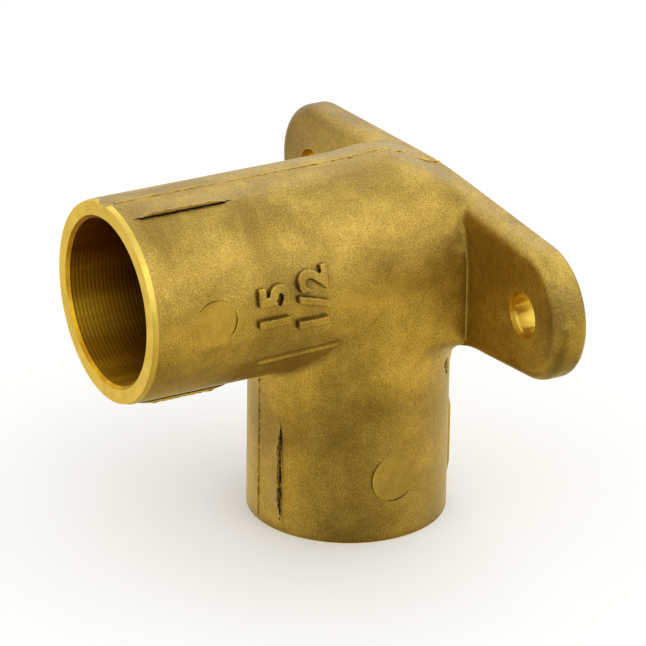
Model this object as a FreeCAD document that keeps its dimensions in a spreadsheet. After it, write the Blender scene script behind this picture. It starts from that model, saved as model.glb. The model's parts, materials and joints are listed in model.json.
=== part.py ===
# Wall plate elbow: a forged brass elbow with two solder sockets and an eared plate for screwing to a wall.
# Millimetres. The wall plane is y = 0, the outlet socket faces -Y and the inlet socket faces -Z.
import FreeCAD, Part
import math
import os
import Sketcher

# Driving dimensions, in millimetres and degrees. Reaches run from the elbow centre, where the axes cross.
SIZES = {
    # Barrels, sockets and waterway.
    "barrel_diameter": 19.5,
    "outlet_reach": 26.2,
    "inlet_reach": 26.2,
    "socket_bore": 15.95,
    "socket_depth": 12.7,
    "waterway_bore": 13.3,
    "mouth_chamfer": 0.32,
    "outlet_rim_width": 0.14,
    "outlet_rim_length": 0.53,
    "inlet_rim_chamfer": 0.08,
    "crotch_round": 0.9,
    # Wall plate with two ears.
    "wall_offset": 10.1,
    "plate_thickness": 3.2,
    "plate_top": 7.5,
    "plate_bottom": 8.69,
    "crown_radius": 60.0,
    "upper_draft": 3.3,
    "lower_draft": 6.1,
    "front_round": 1.25,
    "back_round": 0.7,
    "screw_spacing": 40.0,
    "screw_hole": 4.5,
    "screw_drop": 0.2,
    # Heel that carries the barrels back to the plate.
    "heel_flare": 4.6,
    "heel_start": 4.6,
    "heel_foot": 1.5,
    "heel_round": 3.0,
    "root_round": 0.7,
    "heel_clearance": 0.1,
    # Flat strips beside the parting plane, near each mouth and on one side only.
    "strip_width": 3.3,
    "strip_sink": 0.12,
    "strip_rise": 0.5,
    "strip_from_mouth": 1.0,
    "strip_length": 10.8,
    "strip_ramp": 2.4,
    # Flat round marks left by the ejector pins of the dies.
    "outlet_pin_diameter": 4.4,
    "inlet_pin_diameter": 4.8,
    "pin_from_mouth": 6.5,
    "pin_shift": 0.3,
    "pin_depth": 0.12,
    # Distance by which a cut or a joining form passes the face it meets.
    "overrun": 2.0,
}

# Formulas used by several features.
BARREL_RADIUS = "sizes.barrel_diameter / 2"
HEEL_LENGTH = "(sizes.wall_offset - sizes.back_round)"
HEEL_DROP = f"(sizes.plate_bottom - sizes.heel_clearance - {HEEL_LENGTH} * tan(sizes.heel_flare * 1 deg))"
HEEL_RUN = "(sizes.wall_offset - sizes.heel_foot - sizes.heel_start)"
HEEL_RISE = f"({BARREL_RADIUS} - sizes.plate_top)"

# Ends of a sketch edge and centre of a sketch arc, and the two sketch axes.
FIRST, LAST, CENTRE = range(1, 4)
FLAT_AXIS, UPRIGHT_AXIS = range(-1, -3, -1)
UP = FreeCAD.Vector(0, 0, 1)
RIGHT_ANGLE = math.pi / 2

# Distance below which a point counts as lying on a surface.
NEAR = 1e-4

doc = FreeCAD.newDocument("wall_plate_elbow")
sizes = doc.addObject("Spreadsheet::Sheet", "sizes")
for row, (name, value) in enumerate(SIZES.items(), start=1):
    sizes.set(f"A{row}", name)
    sizes.set(f"B{row}", str(value))
    sizes.setAlias(f"B{row}", name)
doc.recompute()


def amount(formula):
    """Number that a formula of the sheet stands for now."""
    result = sizes.evalExpression(formula)
    return float(getattr(result, "Value", result))


def origin_feature(body, role):
    """Origin plane or axis of a body."""
    return next(feature for feature in body.Origin.OriginFeatures if feature.Role == role)


def sketch_on(body, name, role, offset=None):
    """Empty sketch on an origin plane, moved along the plane's normal by a formula."""
    sketch = body.newObject("Sketcher::SketchObject", name)
    sketch.AttachmentSupport = [(origin_feature(body, role), "")]
    sketch.MapMode = "FlatFace"
    if offset:
        sketch.setExpression("AttachmentOffset.Base.z", offset)
    return sketch


def drive(sketch, formula, kind, *places):
    """Dimension of a sketch that follows a formula."""
    index = sketch.addConstraint(Sketcher.Constraint(kind, *places, amount(formula)))
    sketch.setExpression(f"Constraints[{index}]", formula)


def locate(sketch, edge, end, across, along):
    """Hold a point of a sketch at two formulas measured from the sketch origin."""
    if across == "0":
        sketch.addConstraint(Sketcher.Constraint("PointOnObject", edge, end, UPRIGHT_AXIS))
    else:
        drive(sketch, across, "DistanceX", FLAT_AXIS, FIRST, edge, end)
    if along == "0":
        sketch.addConstraint(Sketcher.Constraint("PointOnObject", edge, end, FLAT_AXIS))
    else:
        drive(sketch, along, "DistanceY", FLAT_AXIS, FIRST, edge, end)


def draw_polygon(sketch, corners):
    """Closed outline of straight edges whose corners are held at pairs of formulas."""
    points = [FreeCAD.Vector(amount(across), amount(along), 0) for across, along in corners]
    first = sketch.GeometryCount
    last = first + len(corners) - 1
    for start, stop in zip(points, points[1:] + points[:1]):
        sketch.addGeometry(Part.LineSegment(start, stop), False)
    for edge in range(first, last + 1):
        following = edge + 1 if edge < last else first
        sketch.addConstraint(Sketcher.Constraint("Coincident", edge, LAST, following, FIRST))
    for edge, (across, along) in zip(range(first, last + 1), corners):
        locate(sketch, edge, FIRST, across, along)


def draw_circle(sketch, diameter, across="0", along="0"):
    """Circle of a driven diameter with its centre held at two formulas."""
    centre = FreeCAD.Vector(amount(across), amount(along), 0)
    edge = sketch.addGeometry(Part.Circle(centre, UP, amount(diameter) / 2), False)
    locate(sketch, edge, CENTRE, across, along)
    drive(sketch, diameter, "Diameter", edge)


def feature_of(body, kind, name, sketch=None, **formulas):
    """Feature of a body built on a sketch, with its sizes driven by formulas."""
    feature = body.newObject(f"PartDesign::{kind}", name)
    if sketch:
        feature.Profile = sketch
        sketch.Visibility = False
    for size, formula in formulas.items():
        feature.setExpression(size, formula)
    return feature


def edges_where(feature, test):
    """Names of the edges of a feature that pass a test, points that count as edges left out."""
    numbered = enumerate(feature.Shape.Edges, start=1)
    return [f"Edge{number}" for number, edge in numbered if not edge.Degenerated and test(edge)]


def lies_on(edge, distance):
    """True where an edge stays on the surface whose signed distance is given."""
    first, last = edge.ParameterRange
    points = [edge.valueAt(first + (last - first) * part / 4) for part in range(5)]
    return all(abs(distance(point)) < NEAR for point in points)


def dress(body, kind, name, test, **formulas):
    """Fillet or chamfer on the edges of the body's last feature that pass a test."""
    base = body.Tip
    doc.recompute()
    feature = feature_of(body, kind, name, **formulas)
    feature.Base = (base, edges_where(base, test))
    doc.recompute()
    return feature


# Heel: an arch that flares from the barrels to the plate and is sloped off behind.
heel = doc.addObject("PartDesign::Body", "heel_form")
arch = sketch_on(heel, "heel_arch", "XZ_Plane")
radius = amount(BARREL_RADIUS)
drop = amount(HEEL_DROP)
corner_height = -drop + radius * amount("tan(sizes.lower_draft * 1 deg)")
arch.addGeometry(Part.ArcOfCircle(Part.Circle(FreeCAD.Vector(), UP, radius), 0, math.pi), False)
arch_corners = [
    FreeCAD.Vector(-radius, 0, 0),
    FreeCAD.Vector(-radius, corner_height, 0),
    FreeCAD.Vector(0, -drop, 0),
    FreeCAD.Vector(radius, corner_height, 0),
    FreeCAD.Vector(radius, 0, 0),
]
for start, stop in zip(arch_corners, arch_corners[1:]):
    arch.addGeometry(Part.LineSegment(start, stop), False)
TOP_ARC, LEFT_SIDE, LEFT_BASE, RIGHT_BASE, RIGHT_SIDE = range(5)
locate(arch, TOP_ARC, CENTRE, "0", "0")
drive(arch, BARREL_RADIUS, "Radius", TOP_ARC)
arch.addConstraint(Sketcher.Constraint("Tangent", TOP_ARC, LAST, LEFT_SIDE, FIRST))
arch.addConstraint(Sketcher.Constraint("Coincident", LEFT_SIDE, LAST, LEFT_BASE, FIRST))
arch.addConstraint(Sketcher.Constraint("Coincident", LEFT_BASE, LAST, RIGHT_BASE, FIRST))
arch.addConstraint(Sketcher.Constraint("Coincident", RIGHT_BASE, LAST, RIGHT_SIDE, FIRST))
arch.addConstraint(Sketcher.Constraint("Tangent", RIGHT_SIDE, LAST, TOP_ARC, FIRST))
arch.addConstraint(Sketcher.Constraint("Vertical", LEFT_SIDE))
arch.addConstraint(Sketcher.Constraint("Vertical", RIGHT_SIDE))
arch.addConstraint(Sketcher.Constraint("Horizontal", LEFT_SIDE, LAST, RIGHT_SIDE, FIRST))
locate(arch, RIGHT_BASE, FIRST, "0", f"-{HEEL_DROP}")
drive(arch, "sizes.lower_draft * 1 deg", "Angle", RIGHT_BASE)
heel_pad = feature_of(heel, "Pad", "heel_pad", arch, Length=HEEL_LENGTH, TaperAngle="sizes.heel_flare")
heel_pad.Reversed = True
doc.recompute()
slope = sketch_on(heel, "heel_slope", "YZ_Plane")
slope_top = "sizes.barrel_diameter"
slope_back = "(sizes.wall_offset + sizes.overrun)"
draw_polygon(slope, [
    (f"sizes.heel_start - ({slope_top} - {BARREL_RADIUS}) * {HEEL_RUN} / {HEEL_RISE}", slope_top),
    (slope_back, f"{BARREL_RADIUS} - ({slope_back} - sizes.heel_start) * {HEEL_RISE} / {HEEL_RUN}"),
    (slope_back, slope_top),
])
heel_cut = feature_of(heel, "Pocket", "heel_cut", slope)
heel_cut.Type = "ThroughAll"
heel_cut.SideType = "Symmetric"
doc.recompute()
run = amount(HEEL_RUN)
rise = amount(HEEL_RISE)
heel_start = amount("sizes.heel_start")


def above_slope(point):
    """Height of a point over the sloped back of the heel."""
    return point.z - radius + (point.y - heel_start) * rise / run


def bounds_slope_and_arch(edge):
    """True for the curved edge between the sloped back and the arch of the heel."""
    return lies_on(edge, above_slope) and not isinstance(edge.Curve, Part.Line)


dress(heel, "Fillet", "heel_rounding", bounds_slope_and_arch, Radius="sizes.heel_round")

# Wall plate: a drafted outline with a round ear at each screw, rounded in front and broken behind.
elbow = doc.addObject("PartDesign::Body", "elbow_body")
plate = sketch_on(elbow, "plate_outline", "XZ_Plane", "sizes.plate_thickness - sizes.wall_offset")
half_spacing = amount("sizes.screw_spacing / 2")
crown_radius = amount("sizes.crown_radius")
plate_top = amount("sizes.plate_top")
plate_bottom = amount("sizes.plate_bottom")
upper_slope = amount("tan(sizes.upper_draft * 1 deg)")
lower_slope = amount("tan(sizes.lower_draft * 1 deg)")
crown_half = crown_radius * amount("sin(sizes.upper_draft * 1 deg)")
crown_fall = crown_radius - crown_radius * amount("cos(sizes.upper_draft * 1 deg)")
ear_high = plate_top - crown_fall - (half_spacing - crown_half) * upper_slope
ear_low = -plate_bottom + half_spacing * lower_slope
ear_middle = (ear_high + ear_low) / 2
ear_radius = (ear_high - ear_low) / 2
crown_centre = FreeCAD.Vector(0, plate_top - crown_radius, 0)
right_ear = FreeCAD.Vector(half_spacing, ear_middle, 0)
left_ear = FreeCAD.Vector(-half_spacing, ear_middle, 0)
keel = FreeCAD.Vector(0, -plate_bottom, 0)
tilt = crown_half / crown_radius
CROWN, LEFT_TOP, LEFT_EAR, LEFT_KEEL, RIGHT_KEEL, RIGHT_EAR, RIGHT_TOP = range(7)
plate.addGeometry([
    Part.ArcOfCircle(Part.Circle(crown_centre, UP, crown_radius), RIGHT_ANGLE - tilt, RIGHT_ANGLE + tilt),
    Part.LineSegment(
        FreeCAD.Vector(-crown_half, plate_top - crown_fall, 0), FreeCAD.Vector(-half_spacing, ear_high, 0)),
    Part.ArcOfCircle(Part.Circle(left_ear, UP, ear_radius), RIGHT_ANGLE, 3 * RIGHT_ANGLE),
    Part.LineSegment(FreeCAD.Vector(-half_spacing, ear_low, 0), keel),
    Part.LineSegment(keel, FreeCAD.Vector(half_spacing, ear_low, 0)),
    Part.ArcOfCircle(Part.Circle(right_ear, UP, ear_radius), -RIGHT_ANGLE, RIGHT_ANGLE),
    Part.LineSegment(
        FreeCAD.Vector(half_spacing, ear_high, 0), FreeCAD.Vector(crown_half, plate_top - crown_fall, 0)),
], False)
for edge in (CROWN, LEFT_TOP, LEFT_EAR, RIGHT_KEEL, RIGHT_EAR):
    plate.addConstraint(Sketcher.Constraint("Tangent", edge, LAST, edge + 1, FIRST))
plate.addConstraint(Sketcher.Constraint("Tangent", RIGHT_TOP, LAST, CROWN, FIRST))
plate.addConstraint(Sketcher.Constraint("Coincident", LEFT_KEEL, LAST, RIGHT_KEEL, FIRST))
locate(plate, CROWN, CENTRE, "0", "sizes.plate_top - sizes.crown_radius")
drive(plate, "sizes.crown_radius", "Radius", CROWN)
locate(plate, RIGHT_KEEL, FIRST, "0", "-sizes.plate_bottom")
drive(plate, "sizes.lower_draft * 1 deg", "Angle", RIGHT_KEEL)
drive(plate, "180 deg - sizes.upper_draft * 1 deg", "Angle", RIGHT_TOP)
drive(plate, "sizes.screw_spacing / 2", "DistanceX", FLAT_AXIS, FIRST, RIGHT_EAR, CENTRE)
plate.addConstraint(
    Sketcher.Constraint("Symmetric", LEFT_EAR, CENTRE, RIGHT_EAR, CENTRE, UPRIGHT_AXIS))
plate.addConstraint(Sketcher.Constraint("Equal", LEFT_EAR, RIGHT_EAR))
plate_pad = feature_of(elbow, "Pad", "plate_pad", plate, Length="sizes.plate_thickness")
plate_pad.Reversed = True
doc.recompute()
plate_back = amount("sizes.wall_offset")
plate_front = plate_back - amount("sizes.plate_thickness")
dress(
    elbow, "Fillet", "ear_front_rounding",
    lambda edge: lies_on(edge, lambda point: point.y - plate_front), Radius="sizes.front_round")
dress(
    elbow, "Fillet", "ear_back_rounding",
    lambda edge: lies_on(edge, lambda point: point.y - plate_back), Radius="sizes.back_round")
joined = elbow.newObject("PartDesign::Boolean", "plate_and_heel")
joined.setObjects([heel])
joined.Type = "Fuse"
elbow.Tip = joined
heel_half = radius + plate_front * amount("tan(sizes.heel_flare * 1 deg)")


def at_the_root(edge):
    """True for an edge where the heel's flank meets the front of the plate."""
    within_heel = edge.BoundBox.XMax < heel_half + NEAR and edge.BoundBox.XMin > -heel_half - NEAR
    return within_heel and lies_on(edge, lambda point: point.y - plate_front)


dress(elbow, "Fillet", "root_rounding", at_the_root, Radius="sizes.root_round")

# Barrels: two equal cylinders that meet at the elbow centre, with a round in the crotch between them.
outlet_circle = sketch_on(elbow, "outlet_circle", "XZ_Plane")
draw_circle(outlet_circle, "sizes.barrel_diameter")
feature_of(elbow, "Pad", "outlet_barrel", outlet_circle, Length="sizes.outlet_reach")
inlet_circle = sketch_on(elbow, "inlet_circle", "XY_Plane")
draw_circle(inlet_circle, "sizes.barrel_diameter")
inlet_barrel = feature_of(elbow, "Pad", "inlet_barrel", inlet_circle, Length="sizes.inlet_reach")
inlet_barrel.Reversed = True
dress(
    elbow, "Fillet", "crotch_rounding",
    lambda edge: lies_on(edge, lambda point: point.y - point.z) and edge.BoundBox.ZMin < -radius / 2,
    Radius="sizes.crotch_round")

# Strips: flat lands with ramped ends, two on each barrel, that stand proud at their outer edge.


def strip_profile(reach, side):
    """Corners of a strip's side view, along and away from a barrel's axis on one side of it."""
    inside = f"{side}({BARREL_RADIUS} - sizes.overrun)"
    foot = f"{side}({BARREL_RADIUS} - sizes.strip_sink - sizes.strip_rise)"
    crest = f"{side}({BARREL_RADIUS} - sizes.strip_sink)"
    mouth_end = f"-({reach} - sizes.strip_from_mouth)"
    mouth_crest = f"-({reach} - sizes.strip_from_mouth - sizes.strip_ramp)"
    elbow_crest = f"-({reach} - sizes.strip_from_mouth - sizes.strip_length + sizes.strip_ramp)"
    elbow_end = f"-({reach} - sizes.strip_from_mouth - sizes.strip_length)"
    return [
        (mouth_end, inside),
        (mouth_end, foot),
        (mouth_crest, crest),
        (elbow_crest, crest),
        (elbow_end, foot),
        (elbow_end, inside),
    ]


strip_sides = sketch_on(elbow, "strip_sides", "YZ_Plane")
for side in ("", "-"):
    draw_polygon(strip_sides, strip_profile("sizes.outlet_reach", side))
    draw_polygon(strip_sides, [(away, along) for along, away in strip_profile("sizes.inlet_reach", side)])
feature_of(elbow, "Pad", "strips", strip_sides, Length="sizes.strip_width")

# Pin marks: a flat disc on the flank of each barrel, raised at its sides and sunk in its middle.
pins = sketch_on(elbow, "pin_marks", "YZ_Plane", f"{BARREL_RADIUS} - sizes.pin_depth")
outlet_pin_along = "-(sizes.outlet_reach - sizes.pin_from_mouth)"
inlet_pin_along = "-(sizes.inlet_reach - sizes.pin_from_mouth)"
draw_circle(pins, "sizes.outlet_pin_diameter", outlet_pin_along, "sizes.pin_shift")
draw_circle(pins, "sizes.inlet_pin_diameter", "-sizes.pin_shift", inlet_pin_along)
pin_pads = feature_of(elbow, "Pad", "pin_pads", pins, Length="sizes.overrun")
pin_pads.Reversed = True
pin_flats = feature_of(elbow, "Pocket", "pin_flats", pins, Length="sizes.overrun")
pin_flats.Reversed = True
elbow.Tip = pin_flats
doc.recompute()
other_pins = elbow.newObject("PartDesign::Mirrored", "other_pins")
other_pins.Originals = [pin_pads, pin_flats]
other_pins.MirrorPlane = (origin_feature(elbow, "YZ_Plane"), [""])
elbow.Tip = other_pins
doc.recompute()

# Sockets: bored from each mouth to a shoulder, with the rim turned outside and broken inside.
outlet_mouth = -amount("sizes.outlet_reach")
inlet_mouth = -amount("sizes.inlet_reach")


def at_outlet_mouth(edge):
    """True for an edge in the plane of the outlet's mouth."""
    return lies_on(edge, lambda point: point.y - outlet_mouth)


def at_inlet_mouth(edge):
    """True for an edge in the plane of the inlet's mouth."""
    return lies_on(edge, lambda point: point.z - inlet_mouth)


outlet_rim = dress(
    elbow, "Chamfer", "outlet_rim", at_outlet_mouth,
    Size="sizes.outlet_rim_length", Size2="sizes.outlet_rim_width")
outlet_rim.ChamferType = "Two distances"
dress(elbow, "Chamfer", "inlet_rim", at_inlet_mouth, Size="sizes.inlet_rim_chamfer")
outlet_bore = sketch_on(elbow, "outlet_bore", "XZ_Plane", "sizes.outlet_reach")
draw_circle(outlet_bore, "sizes.socket_bore")
feature_of(elbow, "Pocket", "outlet_socket", outlet_bore, Length="sizes.socket_depth")
inlet_bore = sketch_on(elbow, "inlet_bore", "XY_Plane", "-sizes.inlet_reach")
draw_circle(inlet_bore, "sizes.socket_bore")
inlet_socket = feature_of(elbow, "Pocket", "inlet_socket", inlet_bore, Length="sizes.socket_depth")
inlet_socket.Reversed = True
socket_radius = amount("sizes.socket_bore / 2")


def at_a_bore_mouth(edge):
    """True for the edge of a socket's bore in the plane of its mouth."""
    at_a_mouth = at_outlet_mouth(edge) or at_inlet_mouth(edge)
    return at_a_mouth and abs(edge.Curve.Radius - socket_radius) < NEAR


dress(elbow, "Chamfer", "mouth_chamfers", at_a_bore_mouth, Size="sizes.mouth_chamfer")

# Waterway: a round-ended bore from the outlet to the elbow centre, met by a straight one from the inlet.
outlet_water = sketch_on(elbow, "outlet_waterway_section", "YZ_Plane")
water_radius = amount("sizes.waterway_bore / 2")
shoulder_start = "-(sizes.outlet_reach - sizes.socket_depth + sizes.overrun)"
behind_shoulder = amount(shoulder_start)
outlet_water.addGeometry([
    Part.LineSegment(FreeCAD.Vector(behind_shoulder, 0, 0), FreeCAD.Vector(behind_shoulder, water_radius, 0)),
    Part.LineSegment(FreeCAD.Vector(behind_shoulder, water_radius, 0), FreeCAD.Vector(0, water_radius, 0)),
    Part.ArcOfCircle(Part.Circle(FreeCAD.Vector(), UP, water_radius), 0, RIGHT_ANGLE),
    Part.LineSegment(FreeCAD.Vector(water_radius, 0, 0), FreeCAD.Vector(behind_shoulder, 0, 0)),
], False)
END, WALL, ROUND_END, AXIS = range(4)
outlet_water.addConstraint(Sketcher.Constraint("Coincident", END, LAST, WALL, FIRST))
outlet_water.addConstraint(Sketcher.Constraint("Tangent", WALL, LAST, ROUND_END, LAST))
outlet_water.addConstraint(Sketcher.Constraint("Coincident", ROUND_END, FIRST, AXIS, FIRST))
outlet_water.addConstraint(Sketcher.Constraint("Coincident", AXIS, LAST, END, FIRST))
outlet_water.addConstraint(Sketcher.Constraint("Vertical", END))
outlet_water.addConstraint(Sketcher.Constraint("Horizontal", WALL))
outlet_water.addConstraint(Sketcher.Constraint("Horizontal", AXIS))
locate(outlet_water, END, FIRST, shoulder_start, "0")
locate(outlet_water, ROUND_END, CENTRE, "0", "0")
drive(outlet_water, "sizes.waterway_bore / 2", "Radius", ROUND_END)
outlet_waterway = feature_of(elbow, "Groove", "outlet_waterway", outlet_water)
outlet_waterway.ReferenceAxis = (origin_feature(elbow, "Y_Axis"), [""])
inlet_water = sketch_on(
    elbow, "inlet_waterway_circle", "XY_Plane", "sizes.socket_depth - sizes.inlet_reach - sizes.overrun")
draw_circle(inlet_water, "sizes.waterway_bore")
inlet_waterway = feature_of(
    elbow, "Pocket", "inlet_waterway", inlet_water,
    Length="sizes.inlet_reach - sizes.socket_depth + sizes.overrun")
inlet_waterway.Reversed = True

# Screw holes: one through each ear.
screw_circles = sketch_on(elbow, "screw_circles", "XZ_Plane", "-sizes.wall_offset")
for side in ("", "-"):
    draw_circle(screw_circles, "sizes.screw_hole", f"{side}sizes.screw_spacing / 2", "-sizes.screw_drop")
screw_holes = feature_of(
    elbow, "Pocket", "screw_holes", screw_circles, Length="sizes.plate_thickness + sizes.overrun")
screw_holes.Reversed = True
doc.recompute()

# The body stands with its wall face in the plane y = 0.
elbow.setExpression("Placement.Base.y", "-sizes.wall_offset")
doc.recompute()

for item in doc.Objects:
    if "Invalid" in item.State or "Error" in item.State:
        raise RuntimeError(f"{item.Name} did not recompute")
shape = elbow.Shape
if shape.isNull() or not shape.isValid() or len(shape.Solids) != 1:
    raise RuntimeError("the elbow is not one valid solid")
elbow.Label = "elbow_body"
os.makedirs("parts", exist_ok=True)
shape.exportStep("parts/elbow_body.step")
print(f"elbow_body {shape.Volume:.1f} mm3")
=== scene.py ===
# %% [markdown]
# # A wall plate elbow in forged brass
# This is the fitting behind a wall tap. A pipe comes up into the lower socket, the water
# turns through a right angle, and the outlet socket looks out of the wall. Two ears behind
# the bend take the wall screws. It is one forging, so the scene dresses one CAD node.
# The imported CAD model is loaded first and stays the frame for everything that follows.

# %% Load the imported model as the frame
import json
import math
import random
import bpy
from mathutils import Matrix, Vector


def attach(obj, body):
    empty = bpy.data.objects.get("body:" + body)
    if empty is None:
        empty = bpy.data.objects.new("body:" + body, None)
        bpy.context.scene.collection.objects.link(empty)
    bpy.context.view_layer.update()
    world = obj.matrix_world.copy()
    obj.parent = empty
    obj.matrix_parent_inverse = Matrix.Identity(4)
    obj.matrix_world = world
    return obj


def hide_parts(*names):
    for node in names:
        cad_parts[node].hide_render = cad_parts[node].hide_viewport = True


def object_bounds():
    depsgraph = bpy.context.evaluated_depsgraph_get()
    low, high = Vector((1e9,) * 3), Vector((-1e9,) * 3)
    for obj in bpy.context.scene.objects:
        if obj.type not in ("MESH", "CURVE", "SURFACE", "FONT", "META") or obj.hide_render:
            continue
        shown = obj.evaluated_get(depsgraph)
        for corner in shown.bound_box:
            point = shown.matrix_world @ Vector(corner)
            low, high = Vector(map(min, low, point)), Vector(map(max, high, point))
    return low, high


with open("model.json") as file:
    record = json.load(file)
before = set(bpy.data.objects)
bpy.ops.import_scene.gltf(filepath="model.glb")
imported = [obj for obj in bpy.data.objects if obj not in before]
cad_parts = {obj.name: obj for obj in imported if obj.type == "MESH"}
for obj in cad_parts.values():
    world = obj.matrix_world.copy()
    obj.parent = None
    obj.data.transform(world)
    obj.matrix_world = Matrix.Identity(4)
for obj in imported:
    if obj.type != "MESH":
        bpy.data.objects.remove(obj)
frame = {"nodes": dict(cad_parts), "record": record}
from types import SimpleNamespace
import bmesh
import bpy
from mathutils import Matrix, Vector

cad_low, cad_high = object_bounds()
MM = 0.001


def in_mm(lengths):
    return [round(length / MM, 2) for length in lengths]


print("CAD box, mm:", in_mm((*cad_low, *cad_high)))

# %% [markdown]
# ## Helpers for working as by hand
# Every operator in Blender acts on what is selected, so each step starts by clearing the
# selection, opens one piece in edit mode, and picks corners, edges or faces by where they
# are. The helpers below are those moves.

# %% Select, open and close a piece


def clear_selection():
    if bpy.context.object and bpy.context.object.mode != "OBJECT":
        bpy.ops.object.mode_set(mode="OBJECT")
    bpy.ops.object.select_all(action="DESELECT")


def take(piece):
    """Makes one piece the only one selected."""
    clear_selection()
    bpy.context.view_layer.objects.active = piece
    piece.select_set(True)


def open_piece(piece, mode="FACE"):
    """Opens a piece in edit mode with nothing selected."""
    take(piece)
    bpy.ops.object.mode_set(mode="EDIT")
    bpy.ops.mesh.select_mode(type=mode)
    bpy.ops.mesh.select_all(action="DESELECT")


def pick(piece, kind, wanted):
    """Selects the verts, edges or faces of the open piece that pass the test."""
    mesh = bmesh.from_edit_mesh(piece.data)
    for part in getattr(mesh, kind):
        part.select_set(False)
    chosen = [part for part in getattr(mesh, kind) if wanted(part)]
    for part in chosen:
        part.select_set(True)
    mesh.select_flush_mode()
    bmesh.update_edit_mesh(piece.data)
    return len(chosen)


def close_piece():
    bpy.ops.object.mode_set(mode="OBJECT")
    clear_selection()


# %% [markdown]
# ## The forging itself
# The body could be modelled anew from a box. But the CAD node has the right shape already, so
# the skin starts as a copy of its mesh, and the steps below change it only in places. The copy
# is loose triangles, so its doubled corners are merged first.

# %% Copy and merge the CAD mesh
MERGE = 0.001 * MM

node = frame["nodes"]["elbow_body"]
skin = bpy.data.objects.new("elbow_skin", node.data.copy())
bpy.context.scene.collection.objects.link(skin)
open_piece(skin, "VERT")
bpy.ops.mesh.select_all(action="SELECT")
bpy.ops.mesh.customdata_custom_splitnormals_clear()
bpy.ops.mesh.remove_doubles(threshold=MERGE)
close_piece()
print("skin:", len(skin.data.vertices), "corners,", len(skin.data.polygons), "faces")

# %% [markdown]
# ## The bored sockets
# Each socket is bored with a single-point tool, and its feed leaves fine rings that catch the
# light. They are too deep for a bump to look right at the edge of the bore, so they are cut
# as geometry: the plain wall is deleted, and the ring of edges left at the mouth is extruded
# inwards step by step and scaled a little out and in, until it meets the shoulder.

# %% Cut the feed rings
mounts = {mount["name"]: mount for mount in frame["record"]["mounts"]}
bore = mounts["outlet_socket"]["dims"]
OUTLET_MOUTH, INLET_MOUTH = cad_low.y, cad_low.z
BEND_Y = mounts["inlet_socket"]["pos_m"][1]
SOCKET_RADIUS = bore["r_mm"] * MM
MOUTH_CHAMFER = 0.32 * MM
SOCKET_DEPTH = MOUTH_CHAMFER + bore["length_mm"] * MM
WALL_BAND = 0.03 * MM
SEAM = 0.004 * MM
RINGS = 30
RING_CUT = 0.024 * MM
# Each step is a share of the rings' pitch and a change of the radius.
RING_STEPS = ((0.3, RING_CUT), (0.4, 0.0), (0.3, -RING_CUT))


def bore_rings(mouth, inward):
    """Replaces one socket's plain wall by turned rings."""
    wall_start = mouth + inward * MOUTH_CHAMFER
    wall_length = SOCKET_DEPTH - MOUTH_CHAMFER

    def along(corner):
        return (corner.co - wall_start).dot(inward)

    def on_wall(corner):
        off = (corner.co - wall_start) - inward * along(corner)
        on_length = -WALL_BAND < along(corner) < wall_length + WALL_BAND
        return on_length and abs(off.length - SOCKET_RADIUS) < WALL_BAND

    open_piece(skin, "FACE")
    pick(skin, "faces", lambda face: all(on_wall(corner) for corner in face.verts))
    bpy.ops.mesh.delete(type="FACE")
    bpy.ops.mesh.select_mode(type="EDGE")
    pick(
        skin,
        "edges",
        lambda edge: edge.is_boundary
        and all(on_wall(end) and along(end) < WALL_BAND for end in edge.verts),
    )
    reach, radius = 0.0, SOCKET_RADIUS
    pitch = wall_length / RINGS
    for share, cut in RING_STEPS * RINGS:
        reach += share * pitch
        grow = (radius + cut) / radius
        radius += cut
        bpy.ops.mesh.extrude_edges_move(
            TRANSFORM_OT_translate={"value": inward * share * pitch}
        )
        bpy.ops.transform.resize(
            value=[1.0 if part > 0.5 else grow for part in inward],
            center_override=wall_start + inward * reach,
        )
    bpy.ops.mesh.select_mode(type="VERT")
    bpy.ops.mesh.select_all(action="SELECT")
    bpy.ops.mesh.remove_doubles(threshold=SEAM)
    close_piece()
    return len(skin.data.polygons)


outlet_mouth = Vector((0, OUTLET_MOUTH, 0))
inlet_mouth = Vector((0, BEND_Y, INLET_MOUTH))
print("faces after the outlet:", bore_rings(outlet_mouth, Vector((0, 1, 0))))
print("faces after the inlet:", bore_rings(inlet_mouth, Vector((0, 0, 1))))

# %% [markdown]
# ## The screw holes
# The holes look drilled, with a torn step just inside the forged side. A Boolean could cut the
# step, but its corners would fall where they like. So each wall is deleted and drawn again from
# its front edge: a wider start, a step and the clean bore behind it. The step's corners are
# shaken last, when both ends of the wall are joined up.

# %% Tear the front of the screw holes
screws = mounts["wall_screws"]
HOLE_X = screws["dims"]["spacing_x_mm"] / 2 * MM
HOLE_Z = screws["pos_m"][2]
HOLE_RADIUS = screws["dims"]["hole_r_mm"] * MM
PLATE = 3.2 * MM
TORN = 0.06 * MM
STEP_DEPTH = 0.7 * MM
NARROW = 0.95
# Each step is a depth in mm and what it multiplies the radius by.
HOLE_STEPS = ((0.5, 1.0), (0.2, NARROW), (2.3, 1.0), (0.2, 1 / NARROW))


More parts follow.
